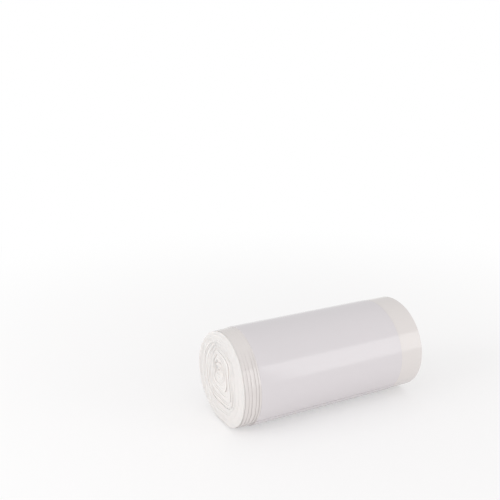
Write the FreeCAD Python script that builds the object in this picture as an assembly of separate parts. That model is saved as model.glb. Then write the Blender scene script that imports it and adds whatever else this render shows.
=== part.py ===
"""A coreless roll of folded bin bags, lying on its side, held by one plain film sleeve.

Lengths are in millimetres and angles in degrees. X runs along the roll, from the end
with the stepped wraps to the plain end. Z is up, and the origin is on the surface that
the roll lies on, below the middle of its length and width. Angles go round X from +Y,
through the top.
"""
import FreeCAD
import Part

import math
import os

# The roll, measured over its sleeve, and the flat that its own weight gives it
ROLL_LENGTH = 200.0
ROLL_WIDTH = 96.5
ROLL_HEIGHT = 91.5
REST_WIDTH = 20.0
REST_BLEND = 0.5
SAG = 0.02

# The sleeve: one turn of film, with its end stuck down over its start
SLEEVE_LENGTH = 156.0
SLEEVE_SETBACK = 18.0
SLEEVE_THICKNESS = 0.25
SLEEVE_CLEARANCE = 0.1
LAP_EDGE_ANGLE = 219.0
LAP_WIDTH = 13.0
LAP_RAMP = 4.0

# The last thin wraps of film, from the lowest to the outermost: how far their edges
# stand back from the roll's two ends
WRAP_THICKNESS = 0.25
WRAP_SETBACKS = (2.0, 5.5, 8.6, 12.7, 15.6)
WRAP_END_SETBACKS = (3.4, 2.5, 1.7, 0.8, 0.0)

# The turns below the wraps. At both ends, they stand apart by a groove, and their edges
# stand back unevenly, in slow and quick waves along the strip
TURN_PITCH = 3.0
GROOVE_WIDTH = 0.5
GROOVE_DEPTH = 3.0
RIM_THICKNESS = 1.6
TURN_TIP = 0.8
PLAIN_RIM_SETBACK = 4.2
EDGE_WAVE = 1.0
EDGE_WAVE_TURNS = 3.7
EDGE_RIPPLE = 0.35
EDGE_RIPPLE_TURNS = 0.43
STEPPED_PHASE = 0.1
PLAIN_PHASE = 0.6

# The collapsed eye in the middle, and how the turns grow squarer and higher towards it
EYE_HEIGHT = 2.6
EYE_SQUARENESS = 1.1
EYE_SHIFT = 2.0

# How finely the shapes are drawn
TURN_POINTS = 16
LAP_STEPS = 4
OUTLINE_ARCS = 12
BITE = 1.0

ROUND = 360.0

FLAT_SAGITTA = 1.0 - math.sqrt(1.0 - (REST_WIDTH / ROLL_WIDTH) ** 2)
HALF_WIDTH = ROLL_WIDTH / 2
HALF_HEIGHT = (ROLL_HEIGHT + REST_BLEND) / (2.0 - FLAT_SAGITTA)
CENTRE_HEIGHT = ROLL_HEIGHT - HALF_HEIGHT
REST_DEPTH = HALF_HEIGHT - CENTRE_HEIGHT
REST_CORNER = math.degrees(math.atan2(CENTRE_HEIGHT + REST_BLEND, REST_WIDTH / 2))
STEPPED_END = -ROLL_LENGTH / 2
PLAIN_END = ROLL_LENGTH / 2
PLAIN_RIM = PLAIN_END - PLAIN_RIM_SETBACK
RIM_INSET = SLEEVE_THICKNESS + SLEEVE_CLEARANCE + len(WRAP_SETBACKS) * WRAP_THICKNESS
TURNS_INSET = RIM_INSET + RIM_THICKNESS
FREE_INSET = TURNS_INSET + GROOVE_WIDTH
TURN_THICKNESS = TURN_PITCH - GROOVE_WIDTH
EYE_INSET = min(HALF_WIDTH, HALF_HEIGHT) - EYE_HEIGHT / 2
TURN_COUNT = (EYE_INSET - TURN_THICKNESS - FREE_INSET) / TURN_PITCH
TAIL_TURNS = (TURN_THICKNESS - TURN_TIP) / TURN_PITCH


def section(angle, inset, x):
    """Give the point of the roll's section at an angle, this far inside its outside."""
    turn = math.radians(angle)
    depth = inset / HALF_HEIGHT
    power = 2.0 + EYE_SQUARENESS * depth ** 2
    across = abs(math.cos(turn)) / (HALF_WIDTH - inset)
    up = abs(math.sin(turn)) / (HALF_HEIGHT - inset)
    radius = (across ** power + up ** power) ** (-1.0 / power)
    y = radius * math.cos(turn) * (1.0 - SAG * math.sin(turn))
    z = CENTRE_HEIGHT + radius * math.sin(turn) + EYE_SHIFT * depth ** 2
    floor = inset * (1.0 - REST_DEPTH / HALF_HEIGHT)
    if z < floor - REST_BLEND:
        z = floor
    elif z < floor + REST_BLEND:
        z += (floor + REST_BLEND - z) ** 2 / (4.0 * REST_BLEND)
    return FreeCAD.Vector(x, y, z)


def outline(inset, x):
    """Draw the closed section at an inset: a chain of arcs and the flat below them."""
    sweep = ROUND - 2.0 * (90.0 - REST_CORNER)
    count = 2 * OUTLINE_ARCS
    angles = [sweep * i / count - REST_CORNER for i in range(count + 1)]
    points = [section(angle, inset, x) for angle in angles]
    edges = [Part.Arc(*points[i:i + 3]).toShape() for i in range(0, count, 2)]
    edges.append(Part.LineSegment(points[-1], points[0]).toShape())
    return Part.Wire(edges)


def disc(inset, start, end):
    """Fill the section at an inset between two places along the roll."""
    return Part.Face(outline(inset, start)).extrude(FreeCAD.Vector(end - start, 0, 0))


def tube(outer_inset, inner_inset, start, end):
    """Make a closed wrap between two insets and two places along the roll."""
    return disc(outer_inset, start, end).cut(disc(inner_inset, start - BITE, end + BITE))


def edge_setback(turns, phase):
    """Give how far the strip's edge stands back, at a number of turns from the eye."""
    slow = 0.5 - 0.5 * math.cos(2.0 * math.pi * (turns / EDGE_WAVE_TURNS + phase))
    quick = 0.5 - 0.5 * math.cos(2.0 * math.pi * (turns / EDGE_RIPPLE_TURNS + phase))
    return EDGE_WAVE * slow + EDGE_RIPPLE * quick


def turn_edges(rim, outwards, phase):
    """Make the turns that stand in the hollow of one end, as one wound strip.

    The strip starts at the eye, keeps its thickness for all its full turns, and then
    runs thinner inside the rim. Its foot bites into the bottom of the hollow.
    """
    count = math.ceil((TURN_COUNT + TAIL_TURNS) * TURN_POINTS)
    foot = rim - outwards * (GROOVE_DEPTH + BITE)
    corners = []
    for i in range(count + 1):
        turns = (TURN_COUNT + TAIL_TURNS) * i / count
        angle = ROUND * turns + LAP_EDGE_ANGLE
        spiral_inset = FREE_INSET + (TURN_COUNT - turns) * TURN_PITCH
        outer_inset = max(spiral_inset, FREE_INSET)
        inner_inset = spiral_inset + TURN_THICKNESS
        edge = rim - outwards * edge_setback(turns, phase)
        corners.append((
            section(angle, outer_inset, foot),
            section(angle, outer_inset, edge),
            section(angle, inner_inset, edge),
            section(angle, inner_inset, foot),
        ))
    facets = []
    for near, far in zip(corners, corners[1:]):
        facets.append((near[0], near[1], far[1], far[0]))
        facets.append((near[1], near[2], far[2]))
        facets.append((near[1], far[2], far[1]))
        facets.append((near[2], near[3], far[3], far[2]))
    facets.extend([corners[0], corners[-1]])
    facets.append([c[0] for c in corners] + [c[3] for c in reversed(corners)])
    faces = [Part.Face(Part.makePolygon(list(f) + [f[0]])) for f in facets]
    shell = Part.Shell(faces)
    shell.sewShape()
    return Part.Solid(shell)


def film_roll():
    """Make the wound bags: the body, the turns at its ends and the wraps around it."""
    body = disc(RIM_INSET, STEPPED_END, PLAIN_RIM)
    body = body.cut(disc(TURNS_INSET, STEPPED_END - BITE, STEPPED_END + GROOVE_DEPTH))
    body = body.cut(disc(TURNS_INSET, PLAIN_RIM - GROOVE_DEPTH, PLAIN_RIM + BITE))
    body = body.cut(disc(EYE_INSET, STEPPED_END - BITE, PLAIN_RIM + BITE))
    pieces = [
        turn_edges(STEPPED_END, -1, STEPPED_PHASE),
        turn_edges(PLAIN_RIM, 1, PLAIN_PHASE),
    ]
    for i, (setback, end_setback) in enumerate(zip(WRAP_SETBACKS, WRAP_END_SETBACKS)):
        inner_inset = RIM_INSET - i * WRAP_THICKNESS
        start = STEPPED_END + setback
        end = PLAIN_END - end_setback
        pieces.append(tube(inner_inset - WRAP_THICKNESS, inner_inset, start, end))
    return body.multiFuse(pieces)


def lap_angle(distance):
    """Give the angle of a place that far round from the lap's free edge."""
    return LAP_EDGE_ANGLE + math.degrees(distance / HALF_HEIGHT)


def film_sleeve():
    """Make the sleeve: a closed turn of film, with the lap standing on its outside.

    The lap has a sharp free edge, and ramps down where the film runs off its own start.
    """
    start = STEPPED_END + SLEEVE_SETBACK
    angles = [lap_angle(LAP_WIDTH * i / LAP_STEPS) for i in range(LAP_STEPS + 1)]
    outside = [section(angle, -SLEEVE_THICKNESS, start) for angle in angles]
    inside = [section(angle, SLEEVE_THICKNESS / 2, start) for angle in angles]
    ramp_foot = section(lap_angle(LAP_WIDTH + LAP_RAMP), SLEEVE_THICKNESS / 2, start)
    profile = outside + [ramp_foot] + inside[::-1] + outside[:1]
    lap = Part.Face(Part.makePolygon(profile)).extrude(FreeCAD.Vector(SLEEVE_LENGTH, 0, 0))
    return tube(0.0, SLEEVE_THICKNESS, start, start + SLEEVE_LENGTH).fuse(lap)


PIECES = {"film_roll": film_roll, "film_sleeve": film_sleeve}
os.makedirs("parts", exist_ok=True)
for name, make in PIECES.items():
    shape = make()
    print(name, len(shape.Solids), "solid,", shape.isValid(), round(shape.Volume), shape.BoundBox)
    shape.exportStep("parts/" + name + ".step")
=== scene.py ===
"""Dress the bin bag roll: its wound film turns, stepped wraps and sleeve, and light it.

Lengths are in metres. X runs along the roll, from the end with the stepped wraps to the
plain end, and Z is up from the surface that the roll lies on.
"""
import logging
import math
from dataclasses import dataclass
from enum import Enum
from typing import Any, ClassVar, Optional, Sequence, Union

import bmesh
import bpy
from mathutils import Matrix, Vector


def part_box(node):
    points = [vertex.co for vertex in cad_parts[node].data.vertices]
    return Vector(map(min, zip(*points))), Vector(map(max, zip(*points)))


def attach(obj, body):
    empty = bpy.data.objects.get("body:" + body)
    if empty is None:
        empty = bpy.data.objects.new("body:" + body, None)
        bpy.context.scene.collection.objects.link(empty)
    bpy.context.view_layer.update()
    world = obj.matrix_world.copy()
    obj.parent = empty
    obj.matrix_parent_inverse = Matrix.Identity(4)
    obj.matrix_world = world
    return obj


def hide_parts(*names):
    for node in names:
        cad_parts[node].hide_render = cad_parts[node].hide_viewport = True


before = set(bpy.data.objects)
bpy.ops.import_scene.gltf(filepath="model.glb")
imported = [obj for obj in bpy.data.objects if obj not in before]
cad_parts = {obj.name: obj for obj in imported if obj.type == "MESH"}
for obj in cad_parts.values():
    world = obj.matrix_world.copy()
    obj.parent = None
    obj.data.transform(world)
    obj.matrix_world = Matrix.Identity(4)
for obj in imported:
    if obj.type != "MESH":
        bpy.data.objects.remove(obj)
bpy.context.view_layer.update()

logging.basicConfig(level=logging.INFO, format="%(message)s")
LOG = logging.getLogger("bag_roll")

MM = 0.001
BODY = "root"
UV_NAME = "UVMap"
WHITE = (1.0, 1.0, 1.0, 1.0)
NOISE_MIDDLE = 0.5
ROUND_POWER = 2.0
MERGE_DISTANCE = 0.002 * MM


class RollEnd(Enum):
    """The two ends of the roll, as signs along X."""

    STEPPED = -1
    PLAIN = 1


class Term:
    """A number that varies over a surface or a material: a node's output socket."""

    def __init__(self, graph: "Graph", socket: Any) -> None:
        """Keep the socket and the graph that it belongs to."""
        self.graph = graph
        self.socket = socket

    def __add__(self, other: "Number") -> "Term":
        """Add."""
        return self.graph.math("ADD", self, other)

    def __radd__(self, other: "Number") -> "Term":
        """Add to a plain number."""
        return self.graph.math("ADD", other, self)

    def __sub__(self, other: "Number") -> "Term":
        """Subtract."""
        return self.graph.math("SUBTRACT", self, other)

    def __rsub__(self, other: "Number") -> "Term":
        """Subtract from a plain number."""
        return self.graph.math("SUBTRACT", other, self)

    def __mul__(self, other: "Number") -> "Term":
        """Multiply."""
        return self.graph.math("MULTIPLY", self, other)

    def __rmul__(self, other: "Number") -> "Term":
        """Multiply a plain number."""
        return self.graph.math("MULTIPLY", other, self)

    def __truediv__(self, other: "Number") -> "Term":
        """Divide."""
        return self.graph.math("DIVIDE", self, other)

    def __rtruediv__(self, other: "Number") -> "Term":
        """Divide a plain number."""
        return self.graph.math("DIVIDE", other, self)

    def __pow__(self, other: "Number") -> "Term":
        """Raise to a power."""
        return self.graph.math("POWER", self, other)

    def __neg__(self) -> "Term":
        """Change the sign."""
        return self.graph.math("MULTIPLY", self, -1.0)


Number = Union[Term, float]


class Graph:
    """Adds nodes to a node tree from plain expressions."""

    def __init__(self, tree: Any) -> None:
        """Keep the tree that the nodes go to."""
        self.tree = tree

    def node(self, kind: str, settings: Optional[dict] = None,
             inputs: Optional[dict] = None) -> Any:
        """Add one node.

        Args:
            kind: The node's type.
            settings: Its properties, which are set first.
            inputs: Values, terms or sockets for its inputs, by name or number.

        Returns:
            The new node.
        """
        made = self.tree.nodes.new(kind)
        for name, value in (settings or {}).items():
            setattr(made, name, value)
        for name, value in (inputs or {}).items():
            self.feed(made.inputs[name], value)
        return made

    def feed(self, socket: Any, value: Any) -> None:
        """Link a term or a socket to an input, or set the input to a plain value.

        Args:
            socket: The input.
            value: The term, socket or plain value.
        """
        if isinstance(value, Term):
            value = value.socket
        if isinstance(value, bpy.types.NodeSocket):
            self.tree.links.new(value, socket)
        else:
            socket.default_value = value

    def term(self, kind: str, settings: Optional[dict] = None, inputs: Optional[dict] = None,
             output: Union[int, str] = 0) -> Term:
        """Add one node and give one of its outputs as a term.

        Args:
            kind: The node's type.
            settings: Its properties.
            inputs: Its inputs.
            output: The output's name or number.

        Returns:
            The output as a term.
        """
        return Term(self, self.node(kind, settings, inputs).outputs[output])

    def math(self, operation: str, *values: Number) -> Term:
        """Add a Math node for an operation on up to three values."""
        return self.term("ShaderNodeMath", {"operation": operation}, dict(enumerate(values)))

    def sin(self, value: Number) -> Term:
        """Give the sine of an angle in radians."""
        return self.math("SINE", value)

    def cos(self, value: Number) -> Term:
        """Give the cosine of an angle in radians."""
        return self.math("COSINE", value)

    def clamp(self, value: Number, low: Number, high: Number) -> Term:
        """Keep a value between two others."""
        return self.math("MINIMUM", self.math("MAXIMUM", value, low), high)

    def ramp(self, value: Number, start: Number, end: Number) -> Term:
        """Rise smoothly from 0 at the start to 1 at the end."""
        return self.term("ShaderNodeMapRange", {"interpolation_type": "SMOOTHSTEP"},
                         {"Value": value, "From Min": start, "From Max": end})

    def point(self, x: Number, y: Number, z: Number) -> Term:
        """Join three numbers into a vector."""
        return self.term("ShaderNodeCombineXYZ", None, {0: x, 1: y, 2: z})

    def parts(self, vector: Any) -> tuple[Term, Term, Term]:
        """Split a vector into its three numbers."""
        split = self.node("ShaderNodeSeparateXYZ", None, {0: vector})
        return tuple(Term(self, split.outputs[i]) for i in range(3))

    def noise(self, vector: Any, scale: float = 1.0, detail: float = 2.0,
              roughness: float = 0.5) -> Term:
        """Give a smooth random number at a place.

        Args:
            vector: The place.
            scale: The number of its steps in one unit of length.
            detail: The number of finer layers on top.
            roughness: How strong each finer layer is.

        Returns:
            The number, from about -0.5 to 0.5.
        """
        made = self.node("ShaderNodeTexNoise", None, {
            "Vector": vector, "Scale": scale, "Detail": detail, "Roughness": roughness})
        return Term(self, made.outputs[0]) - NOISE_MIDDLE


def fresh_graph(holder: Any) -> Graph:
    """Give a material or a world an empty node tree.

    Args:
        holder: The material or world.

    Returns:
        The graph of its tree.
    """
    holder.use_nodes = True
    holder.node_tree.nodes.clear()
    return Graph(holder.node_tree)


@dataclass(frozen=True)
class Section:
    """The squashed round section that every turn of the roll follows.

    Its sag widens it below the middle, its squareness and shift grow inwards, and its
    bulge is how far the stepped end swells out.
    """

    width: float
    height: float
    rest_width: float = 20.0 * MM
    rest_blend: float = 0.5 * MM
    sag: float = 0.02
    squareness: float = 1.1
    shift: float = 2.0 * MM
    bulge: float = 2.6 * MM

    @property
    def half_width(self) -> float:
        """Half the roll's width."""
        return self.width / 2

    @property
    def half_height(self) -> float:
        """Half the height that the round would have without its flat."""
        sagitta = 1.0 - math.sqrt(1.0 - (self.rest_width / self.width) ** 2)
        return (self.height + self.rest_blend) / (2.0 - sagitta)

    @property
    def centre(self) -> float:
        """The height of the round's middle."""
        return self.height - self.half_height

    def place(self, graph: Graph, turns: Number, inset: Number, start: float) -> tuple[Term, Term]:
        """Find a point of the section.

        Args:
            graph: The graph that the nodes go to.
            turns: How far round the point is, in turns from the start angle.
            inset: How far inside the roll's outside it is.
            start: The start angle in turns.

        Returns:
            The point's places across the roll and up.
        """
        angle = (turns + start) * math.tau
        cosine, sine = graph.cos(angle), graph.sin(angle)
        depth = inset / self.half_height
        power = depth * depth * self.squareness + ROUND_POWER
        across = graph.math("ABSOLUTE", cosine) / (self.half_width - inset)
        up = graph.math("ABSOLUTE", sine) / (self.half_height - inset)
        radius = (across ** power + up ** power) ** (-1.0 / power)
        y = radius * cosine * (1.0 - sine * self.sag)
        z = radius * sine + depth * depth * self.shift + self.centre
        # The flat is at the floor for the outside, and rises in step with the inset.
        lift = (self.half_height - self.centre) / self.half_height
        floor = inset * (1.0 - lift)
        blend = self.rest_blend
        below = graph.clamp(floor + blend - z, 0.0, 2.0 * blend)
        z = graph.math("MAXIMUM", z, floor - blend) + below * below / (4.0 * blend)
        return y, z

    def swelling(self, graph: Graph, plain: Term, z: Term) -> Term:
        """Give how far the stepped end swells out: most at half height, not at top or bottom."""
        level = (z - self.centre) / self.half_height
        return (1.0 - level * level) * (1.0 - plain) * self.bulge


@dataclass(frozen=True)
class Row:
    """One lengthwise row of a strip's skin.

    Its depth is how far in from the edge it lies. Its side is -1 on the strip's inside
    and 1 on its outside.
    """

    end: RollEnd
    depth: float
    side: float


def edge_rows(end: RollEnd, rounding: float, count: int, depths: Sequence[float]) -> list[Row]:
    """Lay out the rows of a strip's skin round one of its edges.

    Args:
        end: The edge's end of the roll.
        rounding: How far in from the edge its rounding reaches.
        count: The number of rows in the rounding.
        depths: How far in from the edge the rows of the flat skin lie, from the edge on.

    Returns:
        The rows, from the skin's inside round the edge to its outside, or the other way
        round at the plain end, so that both ends' rows together make one loop.
    """
    turn = [math.pi * i / (count - 1) for i in range(count)]
    rows = [Row(end, depth, -1.0) for depth in reversed(depths)]
    rows += [Row(end, rounding * (1.0 - math.sin(a)), -math.cos(a)) for a in turn]
    rows += [Row(end, depth, 1.0) for depth in depths]
    return rows if end is RollEnd.STEPPED else rows[::-1]


@dataclass
class SkinPoint:
    """What a strip's rules know about a point of its skin.

    Along is in turns from the strip's start. Side and depth are its row's. Plain is 1 at
    the plain end and 0 at the stepped end.
    """

    along: Term
    side: Term
    depth: Term
    plain: Term
    seed: Term


@dataclass
class WoundStrip:
    """A strip of film wound round X: its skin is a sheet of rows, shaped by rules."""

    section: Section
    start_angle: float = 0.0
    direction: float = 1.0
    points_per_turn: int = 60
    seed: int = 1
    rounding: float = 0.05 * MM
    rounding_rows: int = 4
    row_depths: tuple[float, ...] = ()

    name: ClassVar[str] = "wound_strip"
    replaced_node: ClassVar[str] = ""
    slot: ClassVar[str] = ""

    def angle(self, skin: SkinPoint) -> Term:
        """Give the angle round X of a point of the skin, in radians."""
        return (skin.along * self.direction + self.start_angle) * math.tau

    def turns(self) -> float:
        """Give the strip's length in turns."""
        raise NotImplementedError

    def rows(self) -> list[Row]:
        """Give the rows of the strip's skin, round both of its edges."""
        return [row for end in RollEnd
                for row in edge_rows(end, self.rounding, self.rounding_rows, self.row_depths)]

    def inset(self, graph: Graph, skin: SkinPoint) -> Number:
        """Give how far a point of the skin lies inside the roll's outside."""
        raise NotImplementedError

    def ends(self, graph: Graph, skin: SkinPoint) -> tuple[Number, Number]:
        """Give the places of the strip's two edges along the roll."""
        raise NotImplementedError

    def bend(self, graph: Graph, skin: SkinPoint, inset: Term, spot: tuple) -> tuple:
        """Move a finished point a little. Plain strips leave it where it is."""
        return spot

    def tree(self) -> Any:
        """Build the node tree that shapes the strip.

        Returns:
            The geometry node tree.
        """
        tree = bpy.data.node_groups.new(self.name + "_rule", "GeometryNodeTree")
        face = tree.interface
        face.new_socket(name="Turns", in_out="INPUT", socket_type="NodeSocketFloat")
        face.new_socket(name="Points", in_out="INPUT", socket_type="NodeSocketInt")
        face.new_socket(name="Seed", in_out="INPUT", socket_type="NodeSocketFloat")
        face.new_socket(name="Finish", in_out="INPUT", socket_type="NodeSocketMaterial")
        face.new_socket(name="Strip", in_out="OUTPUT", socket_type="NodeSocketGeometry")
        graph = Graph(tree)
        given = graph.node("NodeGroupInput")
        rows = self.rows()
        # The grid's last row falls on its first, which closes the rows into a loop.
        grid = graph.node("GeometryNodeMeshGrid", None, {
            "Size X": 1.0, "Size Y": float(len(rows)), "Vertices X": given.outputs["Points"],
            "Vertices Y": len(rows) + 1})
        u, v, _ = graph.parts(graph.term("GeometryNodeInputPosition"))
        number = graph.math("MODULO", graph.math("ROUND", v + len(rows) / 2), float(len(rows)))
        skin = SkinPoint(
            along=(u + 0.5) * Term(graph, given.outputs["Turns"]),
            side=self.pick(graph, number, [row.side for row in rows]),
            depth=self.pick(graph, number, [row.depth for row in rows]),
            plain=self.pick(graph, number, [float(row.end is RollEnd.PLAIN) for row in rows]),
            seed=Term(graph, given.outputs["Seed"]),
        )
        inset = self.inset(graph, skin)
        y, z = self.section.place(graph, skin.along * self.direction, inset, self.start_angle)
        near, far = self.ends(graph, skin)
        x = (near + skin.depth) * (1.0 - skin.plain) + (far - skin.depth) * skin.plain
        x, y, z = self.bend(graph, skin, inset, (x, y, z))
        shaped = graph.node("GeometryNodeSetPosition", None, {
            "Geometry": grid.outputs["Mesh"], "Position": graph.point(x, y, z)})
        mapped = graph.node("GeometryNodeStoreNamedAttribute",
                            {"data_type": "FLOAT2", "domain": "CORNER"},
                            {"Geometry": shaped.outputs[0], "Name": UV_NAME,
                             "Value": graph.point(skin.along, skin.side * 0.5 + 0.5, 0.0)})
        closed = graph.node("GeometryNodeMergeByDistance", None, {
            "Geometry": mapped.outputs[0], "Distance": MERGE_DISTANCE})
        smooth = graph.node("GeometryNodeSetShadeSmooth", None, {"Geometry": closed.outputs[0]})
        real = graph.node("GeometryNodeRealizeInstances", None, {"Geometry": smooth.outputs[0]})
        dressed = graph.node("GeometryNodeSetMaterial", None, {
            "Geometry": real.outputs[0], "Material": given.outputs["Finish"]})
        graph.node("NodeGroupOutput", None, {"Strip": dressed.outputs[0]})
        return tree

    @staticmethod
    def pick(graph: Graph, number: Term, values: Sequence[float]) -> Term:
        """Choose the value of a row by the row's number.

        Args:
            graph: The graph that the nodes go to.
            number: The row's number.
            values: Every row's value.

        Returns:
            The row's value.
        """
        made = graph.node("GeometryNodeIndexSwitch", {"data_type": "FLOAT"})
        while len(made.index_switch_items) < len(values):
            made.index_switch_items.new()
        graph.feed(made.inputs["Index"], number)
        for i, value in enumerate(values):
            made.inputs[i + 1].default_value = value
        return Term(graph, made.outputs[0])

    def build(self, finish: Any) -> Any:
        """Make the strip as a plain closed mesh, on its body and in its node's place.

        Args:
            finish: The strip's material.

        Returns:
            The strip's object.
        """
        made = bpy.data.objects.new(self.name, bpy.data.meshes.new(self.name))
        bpy.context.scene.collection.objects.link(made)
        rule = made.modifiers.new("rule", "NODES")
        rule.node_group = self.tree()
        points = int(self.turns() * self.points_per_turn) + 1
        values = {"Turns": self.turns(), "Points": points, "Seed": float(self.seed),
                  "Finish": finish}
        for socket in rule.node_group.interface.items_tree:
            if socket.in_out == "INPUT":
                rule[socket.identifier] = values[socket.name]
        depsgraph = bpy.context.evaluated_depsgraph_get()
        mesh = bpy.data.meshes.new_from_object(made.evaluated_get(depsgraph), depsgraph=depsgraph)
        made.modifiers.clear()
        made.data = mesh
        mesh.name = self.name
        # The loop of rows is a tube, which is still open where the strip starts and ends.
        shape = bmesh.new()
        shape.from_mesh(mesh)
        rims = [edge for edge in shape.edges if edge.is_boundary]
        bmesh.ops.holes_fill(shape, edges=rims, sides=0)
        bmesh.ops.recalc_face_normals(shape, faces=shape.faces)
        shape.to_mesh(mesh)
        shape.free()
        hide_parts(self.replaced_node)
        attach(made, BODY)
        LOG.info("%s: %d faces", self.name, len(mesh.polygons))
        return made


@dataclass(frozen=True)
class Push:
    """A soft dent in the end: where it is, how far it moves the film, and how wide it is."""

    y: float
    z: float
    across: float = 0.0
    up: float = 0.0
    back: float = 0.0
    reach: float = 9.0 * MM

    def weight(self, graph: Graph, y: Term, z: Term) -> Term:
        """Give the dent's share at a place: 1 in its middle, and fading round it."""
        off_y, off_z = y - self.y, z - self.z
        return graph.math("EXPONENT", (off_y * off_y + off_z * off_z) * (-0.5 / self.reach ** 2))


@dataclass
class BagTurns(WoundStrip):
    """The wound bags: thick turns round a collapsed eye, below the thin wraps.

    The start angle brings the thin tail's end to the underside at the back. The slack's
    span and the wave's full place are shares of the turns, counted from the eye. A rate is
    a noise's steps in one turn, and the leaf rates are those across the film, in one turn
    and between the two ends.
    """

    start_angle: float = 0.195
    points_per_turn: int = 56
    seed: int = 3
    length: float = 200.0 * MM
    plain_setback: float = 4.2 * MM
    rim_inset: float = 1.6 * MM
    pitch: float = 1.55 * MM
    tail: float = 0.96
    row_depths: tuple[float, ...] = (1.5 * MM, 5.0 * MM)

    eye_half_height: float = 0.3 * MM
    eye_move: tuple[float, float] = (4.0 * MM, 6.0 * MM)
    eye_squeeze: float = 0.4
    eye_reach_from: float = 4.0 * MM

    tight_gap: float = 0.03 * MM
    loose_gap: float = 0.42 * MM
    slack_span: tuple[float, float] = (0.85, 0.1)
    outer_slack: float = 0.2
    patchiness: float = 0.42
    patch_rate: float = 2.1
    patch_span: tuple[float, float] = (-0.02, 0.3)

    parting: float = 0.5
    parting_inset: float = 18.0 * MM
    parting_width: float = 1.1 * MM
    parting_span: tuple[float, float] = (0.5, -0.4)
    high_parting: float = 0.2

    rounding: float = 0.6 * MM
    rounding_rows: int = 9
    least_rounding: float = 0.12

    wave: float = 1.9 * MM
    wave_turns: float = 3.7
    wave_phases: tuple[float, float] = (0.1, 0.6)
    slow_share: float = 0.6
    rough_share: float = 0.8
    rough_rate: float = 1.7
    outer_wave: float = 0.15
    wave_full: float = 0.5

    leaf: float = 0.4 * MM
    leaf_rates: tuple[float, float, float] = (2.6, 2.0, 5.0)

    loose_span: tuple[float, float] = (7.0 * MM, 26.0 * MM)
    lump: float = 10.0 * MM
    lump_size: float = 26.0 * MM
    pushes: tuple[Push, ...] = (
        Push(-19.0 * MM, 32.0 * MM, across=-5.5 * MM, up=-6.5 * MM, back=0.6 * MM, reach=8.5 * MM),
        Push(-21.0 * MM, 64.0 * MM, across=-4.0 * MM, up=1.0 * MM, reach=9.0 * MM),
        Push(22.0 * MM, 34.0 * MM, across=3.0 * MM, up=-1.0 * MM, reach=8.0 * MM),
        Push(6.0 * MM, 68.0 * MM, across=2.0 * MM, up=3.5 * MM, reach=8.0 * MM),
        Push(-8.0 * MM, 45.0 * MM, back=2.2 * MM, reach=4.5 * MM),
        Push(14.0 * MM, 49.0 * MM, across=2.0 * MM, back=1.8 * MM, reach=4.0 * MM),
    )

    shoulder: float = 1.0 * MM
    shoulder_reach: float = 4.5 * MM
    shoulder_rate: float = 4.0
    shoulder_least: float = 0.8

    name: ClassVar[str] = "bag_turns"
    replaced_node: ClassVar[str] = "film_roll"
    slot: ClassVar[str] = "bag_film"
    UP_SEED: ClassVar[float] = 7.0
    SHOULDER_SEED: ClassVar[float] = 3.0

    @property
    def full_turns(self) -> float:
        """The number of turns from the eye to the rim."""
        free = self.section.half_height - self.eye_half_height - self.rim_inset
        return free / self.pitch - 1.0

    def turns(self) -> float:
        """Give the strip's length in turns, with the tail that thins out in the rim."""
        return self.full_turns + self.tail

    def spiral(self, skin: SkinPoint) -> Term:
        """Give how far inside the roll's outside the spiral runs."""
        return (self.full_turns - skin.along) * self.pitch + self.rim_inset

    def slack(self, graph: Graph, skin: SkinPoint) -> Term:
        """Give how loose the turns lie: tight outside, and patchily loose inside.

        They also part all the way round at one depth, most of all low down.

        Args:
            graph: The graph that the nodes go to.
            skin: The point of the skin.

        Returns:
            The slack, from 0 for tight to 1.
        """
        start, full = (share * self.full_turns for share in self.slack_span)
        inwards = graph.ramp(skin.along, start, full)
        place = graph.point(skin.along * self.patch_rate, skin.seed, skin.plain)
        patches = graph.ramp(graph.noise(place, detail=1.0), *self.patch_span)
        patches = patches * (inwards * (1.0 - self.outer_slack) + self.outer_slack)
        off = (self.spiral(skin) - self.parting_inset) / self.parting_width
        low = graph.ramp(graph.sin(self.angle(skin)), *self.parting_span)
        low = low * (1.0 - self.high_parting) + self.high_parting
        parting = graph.math("EXPONENT", off * off * -1.0) * low * self.parting
        return graph.math("MAXIMUM", patches * self.patchiness, parting)

    def inset(self, graph: Graph, skin: SkinPoint) -> Number:
        """Follow the spiral, with a gap where the turns are slack, and end in the rim.

        Args:
            graph: The graph that the nodes go to.
            skin: The point of the skin.

        Returns:
            How far inside the roll's outside the point lies.
        """
        spiral = self.spiral(skin)
        gap = self.slack(graph, skin) * self.loose_gap + self.tight_gap
        outer = graph.math("MAXIMUM", spiral, self.rim_inset)
        inner = spiral + self.pitch - gap
        return (outer + inner) / 2 + skin.side * (outer - inner) / 2

    def ends(self, graph: Graph, skin: SkinPoint) -> tuple[Number, Number]:
        """Let the edges stand back in slow waves, less in the tight turns outside.

        Args:
            graph: The graph that the nodes go to.
            skin: The point of the skin.

        Returns:
            The places of the two edges along the roll.
        """
        inwards = graph.ramp(skin.along, self.turns(), self.full_turns * self.wave_full)
        inwards = inwards * (1.0 - self.outer_wave) + self.outer_wave
        setbacks = []
        for phase in self.wave_phases:
            slow = 0.5 - 0.5 * graph.cos((skin.along / self.wave_turns + phase) * math.tau)
            place = graph.point(skin.along * self.rough_rate, skin.seed + phase, 0.0)
            rough = graph.noise(place) + NOISE_MIDDLE
            both = slow * self.slow_share + rough * self.rough_share
            setbacks.append(both * inwards * self.wave)
        return setbacks[0] - self.length / 2, self.length / 2 - self.plain_setback - setbacks[1]

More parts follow.
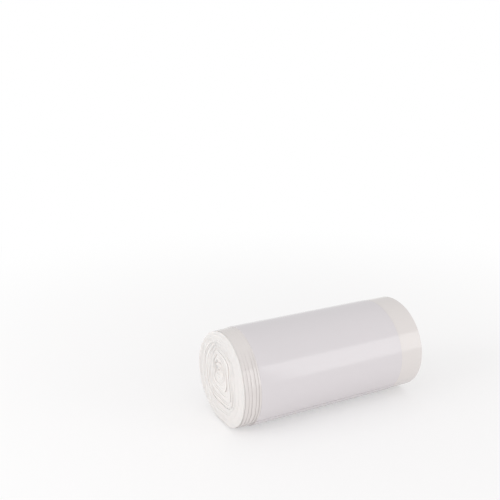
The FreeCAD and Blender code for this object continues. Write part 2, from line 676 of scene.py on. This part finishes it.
    def crush(self, graph: Graph, skin: SkinPoint, inset: Term, y: Term, z: Term) -> tuple:
        """Push the inner turns out of round, and draw them towards the eye's place.

        Args:
            graph: The graph that the nodes go to.
            skin: The point of the skin.
            inset: How far inside the roll's outside it is.
            y: Its place across the roll.
            z: Its height.

        Returns:
            Its new places across and up, and how far the dents push its edge back.
        """
        loose = graph.ramp(inset, *self.loose_span)
        inner = graph.ramp(inset, self.eye_reach_from, self.section.half_height)
        new_y = y * (1.0 - inner * self.eye_squeeze) + inner * self.eye_move[0]
        across, up = y / self.lump_size, z / self.lump_size
        place = graph.point(skin.seed, across, up)
        new_y = new_y + graph.noise(place) * loose * self.lump
        place = graph.point(skin.seed + self.UP_SEED, across, up)
        new_z = z + graph.noise(place) * loose * self.lump + inner * self.eye_move[1]
        dent: Number = 0.0
        for push in self.pushes:
            weight = push.weight(graph, y, z) * loose
            new_y = new_y + weight * push.across
            new_z = new_z + weight * push.up
            dent = weight * push.back + dent
        return new_y, new_z, dent

    def bend(self, graph: Graph, skin: SkinPoint, inset: Term, spot: tuple) -> tuple:
        """Crush the inner turns, fray each edge into leaves of film, and round the rim.

        Args:
            graph: The graph that the nodes go to.
            skin: The point of the skin.
            inset: How far inside the roll's outside it is.
            spot: Its place.

        Returns:
            Its new place.
        """
        x, y, z = spot
        y, z, dent = self.crush(graph, skin, inset, y, z)
        across, along, end = self.leaf_rates
        edge = graph.ramp(skin.depth, self.rounding, 0.0)
        place = graph.point(skin.side * across, skin.along * along, skin.plain * end + skin.seed)
        leaves = (graph.noise(place, detail=3.0) + NOISE_MIDDLE) * edge * self.leaf
        near_rim = graph.clamp(1.0 - (inset - self.rim_inset) / self.shoulder_reach, 0.0, 1.0)
        place = graph.point(
            skin.along * self.shoulder_rate, skin.seed + self.SHOULDER_SEED, skin.plain)
        worn = graph.noise(place) + self.shoulder_least
        back = leaves + near_rim * near_rim * worn * self.shoulder + dent
        sharp = (1.0 - self.slack(graph, skin)) * (1.0 - self.least_rounding)
        back = back - graph.math("MINIMUM", skin.depth, self.rounding) * sharp
        outwards = skin.plain * 2.0 - 1.0
        return x - outwards * back - self.section.swelling(graph, skin.plain, z), y, z


@dataclass
class BagWraps(WoundStrip):
    """The last thin wraps of film, each drawn further back from the stepped end.

    The start angle keeps the steps between the wraps underneath and at the back. A rate
    is a noise's steps in one turn, and a span is of the angle's sine or cosine.
    """

    start_angle: float = 0.76
    points_per_turn: int = 200
    seed: int = 5
    length: float = 200.0 * MM
    setbacks: tuple[float, ...] = (2.0 * MM, 5.5 * MM, 8.6 * MM, 12.7 * MM, 15.6 * MM)
    plain_setbacks: tuple[float, ...] = (3.4 * MM, 2.5 * MM, 1.7 * MM, 0.8 * MM, 0.0)
    low_inset: float = 1.59 * MM
    pitch: float = 0.21 * MM
    thickness: float = 0.2 * MM
    shift_turns: float = 0.4
    row_depths: tuple[float, ...] = (
        0.25 * MM, 0.6 * MM, 1.1 * MM, 1.8 * MM, 3.0 * MM, 6.0 * MM, 16.0 * MM)

    lift: float = 0.46 * MM
    lift_reach: float = 1.2 * MM
    lift_rate: float = 7.0
    lift_least: float = 0.6
    lift_first: float = 0.3
    lift_growth: float = 0.2
    open_span: tuple[float, float] = (0.5, 0.85)
    taper: float = 0.85

    frill: float = 1.2 * MM
    frill_rate: float = 9.0
    crinkle: float = 4.0 * MM
    plain_crinkle: float = 0.3 * MM
    crinkle_rate: float = 48.0
    crinkle_low_span: tuple[float, float] = (0.0, -0.55)
    crinkle_front_span: tuple[float, float] = (-0.1, -0.5)

    name: ClassVar[str] = "bag_wraps"
    replaced_node: ClassVar[str] = "film_roll"
    slot: ClassVar[str] = "bag_film"
    CRINKLE_SEED: ClassVar[float] = 4.0

    def turns(self) -> float:
        """Give one turn for each wrap."""
        return float(len(self.setbacks))

    def inset(self, graph: Graph, skin: SkinPoint) -> Number:
        """Wind tightly. At the stepped end, lift the edges in front and thin them elsewhere.

        Args:
            graph: The graph that the nodes go to.
            skin: The point of the skin.

        Returns:
            How far inside the roll's outside the point lies.
        """
        middle = self.low_inset - self.thickness / 2 - skin.along * self.pitch
        near_edge = graph.math("EXPONENT", skin.depth * (-1.0 / self.lift_reach))
        near_edge = near_edge * (1.0 - skin.plain)
        place = graph.point(skin.along * self.lift_rate, skin.plain + skin.seed, 0.0)
        uneven = graph.noise(place) + self.lift_least
        open_part = graph.ramp(-graph.cos(self.angle(skin)), *self.open_span)
        thin = (skin.side + 1.0) * (1.0 - open_part) * (self.thickness * self.taper / 2)
        growing = skin.along * self.lift_growth + self.lift_first
        lifted = open_part * uneven * growing * self.lift
        return middle - skin.side * self.thickness / 2 + near_edge * (thin - lifted)

    def ends(self, graph: Graph, skin: SkinPoint) -> tuple[Number, Number]:
        """Step both edges once a turn, out of sight from the front, and crinkle them.

        Args:
            graph: The graph that the nodes go to.
            skin: The point of the skin.

        Returns:
            The places of the two edges along the roll.
        """
        angle = self.angle(skin)
        low = graph.ramp(graph.sin(angle), *self.crinkle_low_span)
        low = low * graph.ramp(graph.cos(angle), *self.crinkle_front_span)
        both = ((self.setbacks, self.crinkle), (self.plain_setbacks, self.plain_crinkle))
        places = []
        for k, (steps, crinkle) in enumerate(both):
            place = steps[0]
            for i in range(1, len(steps)):
                drift = graph.ramp(skin.along, float(i), i + self.shift_turns)
                place = drift * (steps[i] - steps[i - 1]) + place
            spot = graph.point(skin.along * self.frill_rate, skin.seed + k, 0.0)
            rough = graph.noise(spot, detail=3.0) + NOISE_MIDDLE
            spot = graph.point(skin.along * self.crinkle_rate, skin.seed + k, self.CRINKLE_SEED)
            fine = graph.noise(spot, detail=1.0)
            places.append(place + rough * self.frill + fine * low * crinkle)
        return places[0] - self.length / 2, self.length / 2 - places[1]

    def bend(self, graph: Graph, skin: SkinPoint, inset: Term, spot: tuple) -> tuple:
        """Follow the swelling of the stepped end."""
        x, y, z = spot
        return x - self.section.swelling(graph, skin.plain, z), y, z


@dataclass
class FilmSleeve(WoundStrip):
    """The plain sleeve: one turn of glossy film whose end laps over its start.

    It is wound the other way round from the bags. The lap edge is in turns.
    """

    direction: float = -1.0
    points_per_turn: int = 150
    seed: int = 2
    lap_edge: float = 219.0 / 360.0
    near: float = -82.0 * MM
    far: float = 74.0 * MM
    thickness: float = 0.24 * MM
    layer_gap: float = 0.02 * MM
    lap: float = 17.0 * MM
    ramp_width: float = 5.0 * MM
    ramp_margin: float = 0.5 * MM
    hug: float = 0.09 * MM
    hug_reach: float = 1.5 * MM
    seal: float = 0.2 * MM
    skew: float = 2.2 * MM
    rounding: float = 0.06 * MM
    row_depths: tuple[float, ...] = (0.3 * MM, 1.0 * MM, 3.0 * MM) + tuple(
        (7.0 + 6.5 * i) * MM for i in range(11))
    ripple: float = 0.12 * MM
    ripple_scale: tuple[float, float] = (22.0, 45.0)

    name: ClassVar[str] = "film_sleeve_band"
    replaced_node: ClassVar[str] = "film_sleeve"
    slot: ClassVar[str] = "sleeve_film"

    def __post_init__(self) -> None:
        """Turn the strip so that it ends at the lap's edge."""
        self.start_angle = self.lap_edge + self.turns()

    @property
    def girth(self) -> float:
        """The length of one turn, near enough to turn a width into a share of it."""
        return math.tau * (self.section.half_width + self.section.half_height) / 2

    def turns(self) -> float:
        """Give one turn and the lap."""
        return 1.0 + self.lap / self.girth

    def inset(self, graph: Graph, skin: SkinPoint) -> Number:
        """Lie on the roll, hug it at both edges, and climb over the hidden start at the lap.

        Args:
            graph: The graph that the nodes go to.
            skin: The point of the skin.

        Returns:
            How far inside the roll's outside the point lies.
        """
        top = 1.0 - self.ramp_margin / self.girth
        climb = graph.ramp(skin.along, top - self.ramp_width / self.girth, top)
        outer = climb * (-self.thickness - self.layer_gap)
        edge = graph.math("EXPONENT", skin.depth * (-1.0 / self.hug_reach))
        below = (1.0 - skin.side) * (edge * self.seal + self.thickness) / 2
        return outer + edge * self.hug + below

    def ends(self, graph: Graph, skin: SkinPoint) -> tuple[Number, Number]:
        """Cut the far edge straight, and the near one a little askew, ahead in front."""
        return graph.cos(self.angle(skin)) * self.skew + self.near, self.far

    def bend(self, graph: Graph, skin: SkinPoint, inset: Term, spot: tuple) -> tuple:
        """Let the film swell and sink a little between its edges.

        Args:
            graph: The graph that the nodes go to.
            skin: The point of the skin.
            inset: How far inside the roll's outside it is; not used.
            spot: Its place.

        Returns:
            Its new place.
        """
        x, y, z = spot
        along, around = self.ripple_scale
        place = graph.point(x * along, y * around, z * around + skin.seed)
        swell = 1.0 + graph.noise(place) * (self.ripple / self.section.half_height)
        y = y * swell
        z = graph.math("MAXIMUM", (z - self.section.centre) * swell + self.section.centre, 0.0)
        return x, y, z


@dataclass(frozen=True)
class FilmFinish:
    """Thin milky film: a pale satin skin with faint clouds, streaks and creases.

    Leaves is the strength of the fine lines between the films in an edge, which are bumps and also
    painted shade and light in the colour, and the leaf rates are those lines' steps in one turn
    and across the film.
    """

    name: str
    colour: tuple[float, float, float]
    ior: float = 1.5
    cloud: float = 0.03
    cloud_scale: float = 38.0
    roughness: float = 0.32
    roughness_spread: float = 0.08
    crease: float = 0.15
    crease_scale: float = 160.0
    crease_depth: float = 0.2 * MM
    streak_scale: float = 640.0
    streak: float = 0.4
    stretch: tuple[float, float, float] = (0.25, 1.0, 1.0)
    subsurface: float = 0.0
    subsurface_reach: float = 1.5 * MM
    subsurface_radius: tuple[float, float, float] = (1.0, 0.9, 0.85)
    leaves: float = 0.0
    leaf_rates: tuple[float, float] = (3.0, 7.0)
    leaf_painted_shade: float = 0.12
    leaf_relief: float = 3.0

    def build(self) -> Any:
        """Make the material.

        Returns:
            The material, on Object coordinates, with the leaves on the UV map.
        """
        made = bpy.data.materials.new(self.name)
        graph = fresh_graph(made)
        place = graph.node("ShaderNodeTexCoord").outputs["Object"]
        drawn = graph.node("ShaderNodeMapping", None, {"Vector": place, "Scale": self.stretch})
        drawn = drawn.outputs[0]
        cloud = graph.noise(drawn, self.cloud_scale, detail=3.0, roughness=0.55)
        fine = graph.noise(drawn, self.crease_scale, detail=4.0, roughness=0.6)
        streak = graph.noise(drawn, self.streak_scale, detail=3.0, roughness=0.6)
        wound = graph.node("ShaderNodeUVMap", {"uv_map": UV_NAME}).outputs["UV"]
        along, across, _ = graph.parts(wound)
        leaf_place = graph.point(along * self.leaf_rates[0], across * self.leaf_rates[1], 0.0)
        leaf = graph.noise(leaf_place, detail=3.0, roughness=0.7) * self.leaves
        # The leaf term paints fine darker and lighter lines into the colour: painted shade in the
        # gaps between the films' leaves, and painted light on their edges.
        level = 1.0 + cloud * self.cloud * 2.0 + fine * self.cloud + leaf * self.leaf_painted_shade
        # A colour Mix has its factor at 0, its two colours at 6 and 7, and its result at 2.
        pale = graph.term("ShaderNodeMix", {"data_type": "RGBA", "blend_type": "MULTIPLY"}, {
            0: 1.0, 6: (*self.colour, 1.0), 7: graph.point(level, level, level)}, 2)
        roughness = self.roughness + (cloud + fine) * self.roughness_spread
        relief = fine + streak * self.streak + leaf * self.leaf_relief
        bump = graph.node("ShaderNodeBump", None, {
            "Strength": self.crease, "Distance": self.crease_depth, "Height": relief})
        shader = graph.node("ShaderNodeBsdfPrincipled", None, {
            "Base Color": pale, "Roughness": roughness, "Normal": bump.outputs[0],
            "IOR": self.ior, "Subsurface Weight": self.subsurface,
            "Subsurface Scale": self.subsurface_reach,
            "Subsurface Radius": self.subsurface_radius})
        graph.node("ShaderNodeOutputMaterial", None, {"Surface": shader.outputs[0]})
        return made


# The bag film's leaves paint fine shade and light between its films' leaves into its colour.
BAG_FILM = FilmFinish("bag_film", (0.74, 0.71, 0.69), subsurface=0.5, leaves=1.0)
WRAP_FILM = FilmFinish("wrap_film", (0.69, 0.652, 0.637), roughness=0.11, cloud=0.012,
                       roughness_spread=0.02, crease=0.03)
SLEEVE_FILM = FilmFinish("sleeve_film", (0.652, 0.62, 0.636), roughness=0.14, cloud=0.01,
                         roughness_spread=0.02, crease=0.015)


@dataclass(frozen=True)
class Lamp:
    """One soft rectangular lamp: its middle, the point it faces, its size and its watts."""

    name: str
    place: tuple[float, float, float]
    aim: tuple[float, float, float]
    size: tuple[float, float]
    power: float

    def build(self) -> Any:
        """Hang the lamp.

        Returns:
            The lamp's object.
        """
        light = bpy.data.lights.new(self.name, "AREA")
        light.shape = "RECTANGLE"
        light.size, light.size_y = self.size
        light.energy = self.power
        made = bpy.data.objects.new(self.name, light)
        made.location = self.place
        way = Vector(self.aim) - Vector(self.place)
        made.rotation_euler = way.to_track_quat("-Z", "Y").to_euler()
        bpy.context.scene.collection.objects.link(made)
        return made


@dataclass
class Studio:
    """A white floor, soft lamps, a plain surrounding and the camera.

    The front panel is tall and faces along Y, so its image lies along the roll.
    """

    floor_size: float = 40.0
    floor_height: float = -0.1 * MM
    floor_colour: tuple[float, float, float] = (0.925, 0.912, 0.912)
    near_glow: float = 0.42
    glow_span: tuple[float, float] = (0.12, 0.75)
    surround: float = 0.82
    lamps: tuple[Lamp, ...] = (
        Lamp("front_panel", (0.88, -1.05, 0.45), (0.88, 0.0, 0.45), (0.8, 0.86), 4.0),
        Lamp("low_panel", (-0.6, -1.3, 0.15), (0.0, 0.0, 0.0), (1.2, 0.5), 3.0),
        Lamp("side_panel", (-1.4, 0.0, 0.5), (0.0, 0.0, 0.05), (0.9, 0.9), 7.6),
    )
    camera_place: tuple[float, float, float] = (-0.3850, -0.5746, 0.3472)
    camera_turn: float = 28.74
    camera_dip: float = 15.4845
    camera_lens: float = 54.15
    sensor: float = 36.0

    def floor(self) -> Any:
        """Lay the floor, which is white to the camera and keeps the object's shadow.

        Returns:
            The floor's object.
        """
        half = self.floor_size / 2
        mesh = bpy.data.meshes.new("floor")
        corners = [(x, y, self.floor_height) for x, y in
                   ((-half, -half), (half, -half), (half, half), (-half, half))]
        mesh.from_pydata(corners, [], [(0, 1, 2, 3)])
        made = bpy.data.objects.new("floor", mesh)
        bpy.context.scene.collection.objects.link(made)
        mesh.materials.append(self.floor_white())
        return made

    def floor_white(self) -> Any:
        """Make the floor's material.

        Returns:
            The material: matt near the object, and glowing more the further away it is.
        """
        material = bpy.data.materials.new("floor_white")
        graph = fresh_graph(material)
        matt = graph.node("ShaderNodeBsdfDiffuse", None, {"Color": (*self.floor_colour, 1.0)})
        place = graph.node("ShaderNodeTexCoord").outputs["Object"]
        away = graph.term("ShaderNodeVectorMath", {"operation": "LENGTH"}, {0: place}, "Value")
        share = graph.ramp(away, *self.glow_span) * (1.0 - self.near_glow) + self.near_glow
        glow = graph.node("ShaderNodeEmission", None, {"Color": WHITE, "Strength": 1.0})
        both = graph.node("ShaderNodeMixShader", None, {
            0: self.seen(graph) * share, 1: matt.outputs[0], 2: glow.outputs[0]})
        graph.node("ShaderNodeOutputMaterial", None, {"Surface": both.outputs[0]})
        return material

    @staticmethod
    def seen(graph: Graph) -> Term:
        """Give 1 for rays from the camera, a mirror or a clear surface, and 0 for others.

        Args:
            graph: The graph that the nodes go to.

        Returns:
            The 1 or 0.
        """
        path = graph.node("ShaderNodeLightPath")
        seen = Term(graph, path.outputs["Is Camera Ray"])
        for name in ("Is Glossy Ray", "Is Transmission Ray"):
            seen = graph.math("MAXIMUM", seen, Term(graph, path.outputs[name]))
        return seen

    def surroundings(self) -> None:
        """Light the object evenly from a grey room that the camera sees as white."""
        world = bpy.data.worlds.new("studio")
        bpy.context.scene.world = world
        graph = fresh_graph(world)
        path = graph.node("ShaderNodeLightPath")
        camera = Term(graph, path.outputs["Is Camera Ray"])
        strength = camera * (1.0 - self.surround) + self.surround
        glow = graph.node("ShaderNodeBackground", None, {"Color": WHITE, "Strength": strength})
        graph.node("ShaderNodeOutputWorld", None, {"Surface": glow.outputs[0]})

    def camera(self) -> Any:
        """Set the camera where the photograph's was.

        Returns:
            The camera's object.
        """
        lens = bpy.data.cameras.new("camera")
        lens.lens = self.camera_lens
        lens.sensor_width = self.sensor
        made = bpy.data.objects.new("camera", lens)
        made.location = self.camera_place
        made.rotation_euler = (math.radians(90.0 - self.camera_dip), 0.0,
                               -math.radians(self.camera_turn))
        bpy.context.scene.collection.objects.link(made)
        bpy.context.scene.camera = made
        return made

    def build(self) -> None:
        """Set the whole studio up."""
        bpy.context.scene.view_settings.view_transform = "Standard"
        self.camera()
        self.floor()
        self.surroundings()
        for lamp in self.lamps:
            lamp.build()


def roll_section() -> Section:
    """Take the section's size from the frame, where the sleeve is the roll's outside."""
    low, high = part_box("film_sleeve")
    return Section(width=high[1] - low[1], height=high[2] - low[2])


def main() -> None:
    """Build the studio and the roll's pieces, and note their sizes."""
    Studio().build()
    section = roll_section()
    LOG.info("section %.1f by %.1f mm", section.width / MM, section.height / MM)
    BagTurns(section).build(BAG_FILM.build())
    BagWraps(section).build(WRAP_FILM.build())
    FilmSleeve(section).build(SLEEVE_FILM.build())


if __name__ == "__main__":
    main()
